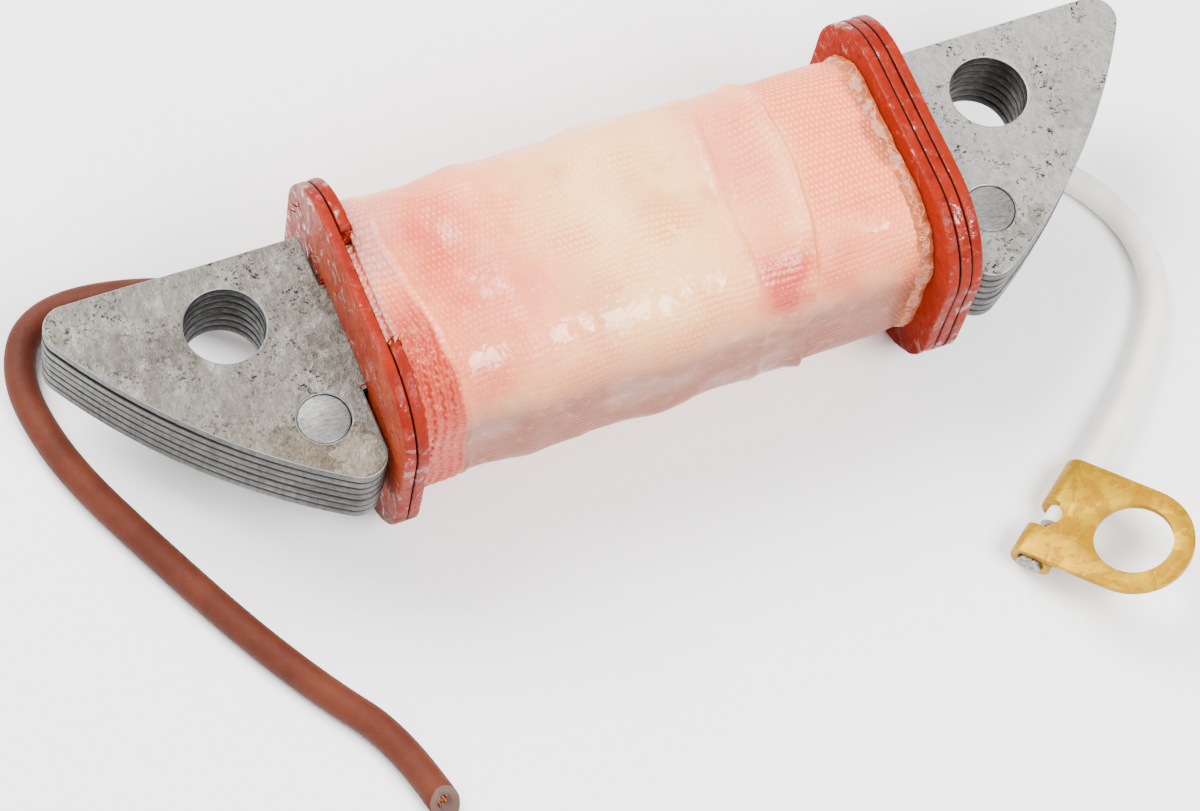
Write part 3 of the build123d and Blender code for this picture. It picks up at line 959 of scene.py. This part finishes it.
def racetrack(share, rise):
    """The point round the limb at a share 0..1 of the way, rise millimetres off the limb's surface.

    It starts on top in the middle and goes down the side of the pole faces first.
    """
    corner = math.pi * TAPE_RISE / 2
    half_turn = [corner, 2 * LIMB_HALF_Z, corner]
    runs = [LIMB_HALF_Y, *half_turn, 2 * LIMB_HALF_Y, *half_turn, LIMB_HALF_Y]
    s = (np.asarray(share) % 1.0) * sum(runs)
    y, z = np.zeros_like(s), np.zeros_like(s)
    centre = (0.0, LIMB_HALF_Z)
    heading = 0.0
    start = 0.0
    for index, run in enumerate(runs):
        inside = (s >= start) & (s <= start + run)
        t = s - start
        if index % 2 == 0:
            along = (-math.cos(heading), -math.sin(heading))
            out = (-math.sin(heading), math.cos(heading))
            y = np.where(inside, centre[0] + along[0] * t + out[0] * rise, y)
            z = np.where(inside, centre[1] + along[1] * t + out[1] * rise, z)
            centre = (centre[0] + along[0] * run, centre[1] + along[1] * run)
        else:
            angle = heading + t / run * math.pi / 2
            y = np.where(inside, centre[0] - np.sin(angle) * rise, y)
            z = np.where(inside, centre[1] + np.cos(angle) * rise, z)
            heading += math.pi / 2
        start += run
    return y, z + MID_Z


def waves(x, s, cell, seed):
    """Noise that repeats round the tape."""
    return lattice_noise(x, s, cell, seed, GIRTH)


def clouds(x, s, cell, seed, octaves=3):
    return cloudy(x, s, cell, seed, octaves, GIRTH)


def strip_round(x_line, s_line, rise, bottom, has_underside, goes_round):
    """Points and faces of a strip on the winding.

    rise is the height of its upper side at each point of the grid, and bottom that of its lower side.
    """
    count = len(s_line)
    top_y, top_z = racetrack(np.broadcast_to(s_line / GIRTH, rise.shape), rise)
    low_y, low_z = racetrack(s_line / GIRTH, np.full(count, bottom))
    top = np.stack([np.broadcast_to(x_line[:, None], rise.shape), top_y, top_z], -1)
    low, high = (np.stack([np.full(count, x_line[end]), low_y, low_z], -1)[None] for end in (0, -1))
    points = np.concatenate([low, top, high]).reshape(-1, 3)
    return points, grid_faces(len(x_line) + 2, count, has_underside, goes_round)


def edge_a(s):
    """Where the upper wrap ends, near the right end."""
    return 12.1 + 1.05 * np.cos(2 * ROUND * (s + 2) / GIRTH) + 0.12 * waves(s, 0, 2.3, 5)


def edge_b(s):
    return 6.95 - 0.65 * np.cos(2 * ROUND * (s - 4) / GIRTH) + 0.10 * waves(s, 0, 2.9, 6)


def edge_c(s):
    return -9.6 + 2.2 * np.sin(ROUND * (s - 4) / GIRTH) + 0.15 * waves(s, 0, 3.1, 7)


def gather_edge(s):
    """Left of this line the cloth is drawn together in pleats."""
    return -19.6 + 1.5 * np.sin(ROUND * (s - 2.5) / GIRTH) + 0.25 * waves(s, 0, 2.1, 8)


def tape_shape(x, s):
    """How far the tape's surface is from the limb, and the depth of its weave from 0 to 1."""
    rise = 5.42 + 0.38 * smooth((edge_a(s) - x) / 0.35)
    rise -= 0.19 * smooth((x - 18.6) / 2.6)
    rise += 0.38 * bell(x, -0.5, 2.6) + 0.22 * bell(x, -12.2, 1.3) - 0.22 * bell(x, -16.6, 2.6)
    top_side = 0.5 + 0.5 * np.cos(ROUND * (s + 6) / GIRTH)
    rise -= 0.20 * (1 - top_side) * bell(x, 3.5, 3.5)
    fold = bell(s, -1, 7.5)
    rise += (0.10 + 0.24 * fold) * bell(x, edge_a(s) - 0.35, 0.34)
    rise -= 0.13 * smooth((x - edge_b(s)) / 0.4) * smooth((edge_a(s) - 0.8 - x) / 0.8)
    rise += 0.10 * bell(x, edge_b(s) - 0.3, 0.35)
    rise += 0.13 * smooth((edge_c(s) - x) / 0.5) * smooth((x + 17) / 3)
    rise += 0.09 * bell(x, edge_c(s), 0.30)
    gathered = smooth((gather_edge(s) - x) / 0.5)
    pleats = np.sin(ROUND * (x + 0.5 * waves(x, s, 4.0, 11)) / 0.85)
    rise += gathered * (0.10 + 0.13 * pleats * (0.6 + 0.4 * waves(x, s, 3.0, 12)))
    rise += 0.16 * bell(x, gather_edge(s) + 0.2, 0.3)
    rise += 0.10 * clouds(x, s, 6.0, 21) + 0.035 * clouds(x, s, 1.5, 31, 2)
    return rise, gathered


# where the weave shows clearly: how much, then the place and half size along and round the limb
CLEAR_WEAVE = (
    (0.90, 1.0, 4.0, 1.5, 3.5),
    (0.85, -6.0, 3.5, 0.5, 3.2),
    (0.75, -17.0, 3.5, -2.0, 5.0),
    (0.80, 9.0, 2.0, 10.0, 4.5),
)


def threads(x, s, gathered):
    """Coordinates along and round the limb that drift with the threads, and how clearly they show."""
    along = x + 0.25 * waves(x, s, 3.0, 41) + 0.06 * s * np.cos(ROUND * s / GIRTH)
    around = s + 0.55 * waves(x, s, 7.0, 42) + 0.16 * waves(x, s, 1.6, 43)
    show = 0.52 + 0.42 * clouds(x, s, 4.0, 44)
    show = np.maximum(show, 0.95 * smooth((x - edge_a(s)) / 0.6) * (0.45 + 0.55 * smooth((9 - s) / 5)))
    for strength, x0, half_x, s0, half_s in CLEAR_WEAVE:
        show = np.maximum(show, strength * bell(x, x0, half_x) * bell(s, s0, half_s))
    show = np.maximum(show, 0.85 * gathered)
    return along, around, np.clip(show, 0.0, 1.0)


# where the varnish lies smooth enough to mirror the light: x, place round the limb, half sizes
GLOSSY = (
    (-15.8, 7.7, 1.5, 1.7),
    (-9.6, 6.9, 1.9, 2.3),
    (-3.2, 7.4, 2.9, 1.9),
    (2.6, 5.6, 1.9, 2.6),
    (6.6, 0.6, 1.3, 2.2),
    (-13.4, 2.2, 1.3, 1.5),
    (16.5, 7.0, 1.2, 0.9),
)


def wetness(x, s):
    """Where the varnish lies thick enough to hide the weave: 1 is smooth."""
    wet = 0.10 + 0.50 * smooth(clouds(x, s, 4.0, 51) * 1.6 + 0.05)
    wet *= 1 - 0.75 * bell(x, 17.5, 4.5)
    wet *= 1 - 0.9 * smooth((gather_edge(s) - x) / 0.5)
    wet *= 1 - 0.6 * bell(x, 0.5, 4.0) * bell(s, 1.5, 3.2)
    ragged_x = x + 1.3 * waves(x, s, 1.5, 52) + 0.8 * waves(x, s, 0.5, 53)
    ragged_s = s + 1.4 * waves(x, s, 1.3, 54) + 0.9 * waves(x, s, 0.45, 55)
    for x0, s0, half_x, half_s in GLOSSY:
        reach = np.hypot((ragged_x - x0) / half_x, (ragged_s - s0) / half_s)
        wet = np.maximum(wet, 0.93 * smooth((1.3 - reach) / 0.3))
    return np.clip(wet, 0.0, 1.0)


CREAM = (1.0, 0.59, 0.225)
PEACH = (1.0, 0.30, 0.130)
SALMON = (0.58, 0.036, 0.0095)
PINK = (0.84, 0.130, 0.115)
SHADE = (0.175, 0.037, 0.0125)
ORANGE = (0.45, 0.034, 0.0034)
MILKY = (0.58, 0.30, 0.27)
AMBER = (0.36, 0.125, 0.048)


def tape_tone(x, s, gathered):
    """The tape's colour at each point: pale cloth, with stains where the varnish pooled, and painted
    shade on its lower side.
    """
    u = x + 0.9 * waves(x, s, 2.6, 61) + 0.4 * waves(x, s, 0.9, 62)
    v = s + 1.2 * waves(x, s, 2.9, 63) + 0.4 * waves(x, s, 0.8, 64)
    tone = np.broadcast_to(np.array(PEACH), (*x.shape, 3)).copy()

    def lay(colour, share):
        tone[:] = tone + (np.array(colour) - tone) * np.clip(share, 0, 1)[..., None]

    def spot(u0, v0, half_u, half_v, power=2.0):
        dv = (v - v0 + GIRTH / 2) % GIRTH - GIRTH / 2
        return np.exp(-(np.abs((u - u0) / half_u) ** power) - np.abs(dv / half_v) ** power)

    lay(CREAM, 0.85 * spot(0.5, -3.5, 9.5, 9.0, 3.0))
    lay(CREAM, 0.75 * spot(-2.0, 5.0, 8.0, 9.0, 3.0))
    lay(CREAM, 0.55 * smooth(clouds(x, s, 6.5, 71) * 1.5))
    lay(SALMON, 0.74 * spot(-17.3, -3.4, 3.2, 5.2, 2.5))
    lay(SALMON, 0.55 * spot(-14.5, 2.0, 4.5, 5.0))
    lay(SALMON, 0.50 * spot(-16.5, 9.0, 3.0, 4.0))
    lay(SALMON, 0.40 * smooth(clouds(x, s, 5.5, 72) * 1.8 - 0.25))
    lay(SALMON, 0.94 * spot(9.0, 9.4, 2.3, 3.8, 3.0))
    lay(PINK, 0.72 * spot(8.2, -2.2, 2.6, 6.0, 2.2))
    lay(PINK, 0.45 * spot(-9.5, 4.5, 4.0, 4.0))
    lay(CREAM, 0.50 * spot(10.8, 5.0, 1.2, 2.2))
    # painted shade: the lower side of the winding, away from the light, is laid darker
    lay(SHADE, 0.92 * smooth((s - 8.5) / 7.0) * smooth((30.0 - s) / 8.0) * smooth((x + 19.5) / 1.0))
    lay(SHADE, 0.25 * spot(-6.5, 7.0, 2.0, 3.0))
    lay(ORANGE, gathered * smooth((s + 1.5) / 6.0) * smooth((32 - s) / 8) * 0.97)
    lay(MILKY, 0.85 * gathered * smooth((0.5 - s) / 3.0) * smooth((s + 16) / 6.0))
    lay(MILKY, 0.5 * spot(-20.2, -6.6, 1.5, 3.0))
    lay(MILKY, 0.7 * smooth((-22.1 - x) / 0.4))
    lay(AMBER, 0.8 * smooth((u - 19.8) / 1.0))
    return tone


def store_on(piece, **fields):
    """Stores numbers or triples, given row by row, at the points of a piece of cloth.

    The first and last rows count once more, for the rows of points that close the cloth's ends.
    """
    for name, values in fields.items():
        values = np.concatenate([values[:1], values, values[-1:]])
        kind, key = ("FLOAT", "value") if values.ndim == 2 else ("FLOAT_VECTOR", "vector")
        layer = piece.data.attributes.new(name, kind, "POINT")
        layer.data.foreach_set(key, values.ravel().astype(np.float32))


CLOTH_TAPE = cloth_tape()


def make_tape():
    x_line = np.linspace(TAPE_START, TAPE_END, 443)
    s_line = np.linspace(0, GIRTH, 900, endpoint=False)
    x, s = np.meshgrid(x_line, s_line, indexing="ij")
    s = np.where(s > GIRTH / 2, s - GIRTH, s)
    rise, gathered = tape_shape(x, s)
    along, around, show = threads(x, s, gathered)
    wet = wetness(x, s)
    rows = 0.5 + 0.5 * np.cos(ROUND * around / WEAVE_ROW)
    rise = rise + 0.020 * (rows - 0.5) * show * (1 - wet)
    strip = strip_round(x_line, s_line, rise, TAPE_BOTTOM, False, True)
    piece = mesh_piece("wound_tape", *strip, CLOTH_TAPE, "cloth_tape", ["cloth_tape"])
    thread = np.stack([along, around, show * (1 - 0.85 * wet)], -1)
    store_on(piece, tone=tape_tone(x, s, gathered), thread=thread, wet=wet)


def make_slot_cloth():
    """The cloth that bulges into the slot of the left inner plate."""
    x_line = np.linspace(-23.62, -22.60, 12)
    s_line = np.linspace(-4.72, 4.72, 260)
    x, s = np.meshgrid(x_line, s_line, indexing="ij")
    crown = np.sqrt(np.clip(1 - ((x + 23.1) / 0.60) ** 2, 0, 1))
    rise = 5.15 + 0.45 * crown + 0.12 * lattice_noise(x, s, 1.7, 81)
    rise += 0.10 * lattice_noise(x, s, 0.35, 82)
    rise += 0.07 * np.cos(ROUND * s / 0.62 + 3 * lattice_noise(x, s, 1.5, 83))
    strip = strip_round(x_line, s_line, rise, 4.6, True, False)
    piece = mesh_piece("slot_cloth", *strip, CLOTH_TAPE, "cloth_tape")
    share = smooth(0.5 + lattice_noise(x, s, 1.4, 84) + 0.4 * (x + 23.1))[..., None]
    tone = np.array(MILKY) * (1 - 0.6 * share) + np.array(PEACH) * 0.6 * share
    thread = np.stack([x, s, np.full_like(x, 0.9)], -1)
    store_on(piece, tone=tone, thread=thread, wet=np.full_like(x, 0.25))


def bead_rise(x, s):
    lumps = 0.16 * waves(x, s, 1.1, 91) + 0.07 * waves(x, s, 0.42, 92)
    return 5.10 + 0.45 * smooth((x - 20.0) / 1.3) + lumps


def make_varnish_bead():
    """Varnish that ran into the corner at the right flange, and the loose thread set in it."""
    x_line = np.linspace(19.9, 21.58, 24)
    s_line = np.linspace(0, GIRTH, 520, endpoint=False)
    x, s = np.meshgrid(x_line, s_line, indexing="ij")
    varnish = clear_varnish("amber_varnish", (0.290, 0.068, 0.020), 0.20)
    bead = strip_round(x_line, s_line, bead_rise(x, s), 5.05, True, True)
    mesh_piece("varnish_bead", *bead, varnish, "cloth_tape")
    t = np.linspace(0, GIRTH, 1500)
    strands = []
    for seed, middle, pitch in ((93, 20.75, 1.15), (193, 21.05, 0.78)):
        drift, jitter, swell, sway, twist, depth = (
            lattice_noise(t, 0, cell, seed + index)
            for index, cell in enumerate((1.7, 0.5, 0.8, 1.1, 1.3, 0.7))
        )
        turn = ROUND * (t / pitch + 0.8 * drift + 0.25 * jitter)
        thread_x = middle + (0.24 + 0.17 * swell) * np.cos(turn) + 0.20 * sway
        thread_s = t + 0.30 * np.sin(turn + 1.4 * twist)
        sunk = 0.05 * depth - 0.01
        y, z = racetrack(thread_s / GIRTH, bead_rise(thread_x, thread_s) + sunk)
        strands.append(tube(np.column_stack([thread_x, y, z]), 0.042, 6))
    glazed = clear_varnish("glazed_thread", (0.46, 0.18, 0.092), 0.05)
    mesh_piece("bead_thread", *merged(strands), glazed, "cloth_tape")


# where fibres stick out of the flanges: place, how far they spread, how many, which way
FRAYS = (
    ((-23.2, 4.9, 22.2), 0.35, 9, (0.2, -0.6, 0.6)),
    ((-23.2, -4.9, 22.2), 0.35, 8, (0.2, 0.7, 0.4)),
    ((-24.3, 4.8, 15.1), 0.3, 7, (-0.8, -0.4, 0.3)),
    ((-24.6, -4.9, 15.3), 0.3, 4, (-0.7, 0.4, 0.3)),
    ((-24.7, 10.6, 17.6), 0.6, 6, (-0.7, 0.5, 0.3)),
)


def make_frays():
    random = np.random.default_rng(29)
    tufts = []
    for place, spread, count, way in FRAYS:
        for _ in range(count):
            start = np.array(place) + random.normal(0, spread / 2, 3)
            heading = np.array(way) + random.normal(0, 0.35, 3)
            bend = random.normal(0, 0.25, 3)
            t = np.linspace(0, random.uniform(0.35, 0.75), 6)[:, None]
            path = start + heading * t + bend * t**2
            tufts.append(tube(path, np.linspace(0.075, 0.03, 6), 5))
    mesh_piece("fibre_frays", *merged(tufts), RED_FIBRE, "red_fibre")


make_core()
make_burrs()
make_flanges()
make_tape()
make_slot_cloth()
make_varnish_bead()
make_frays()
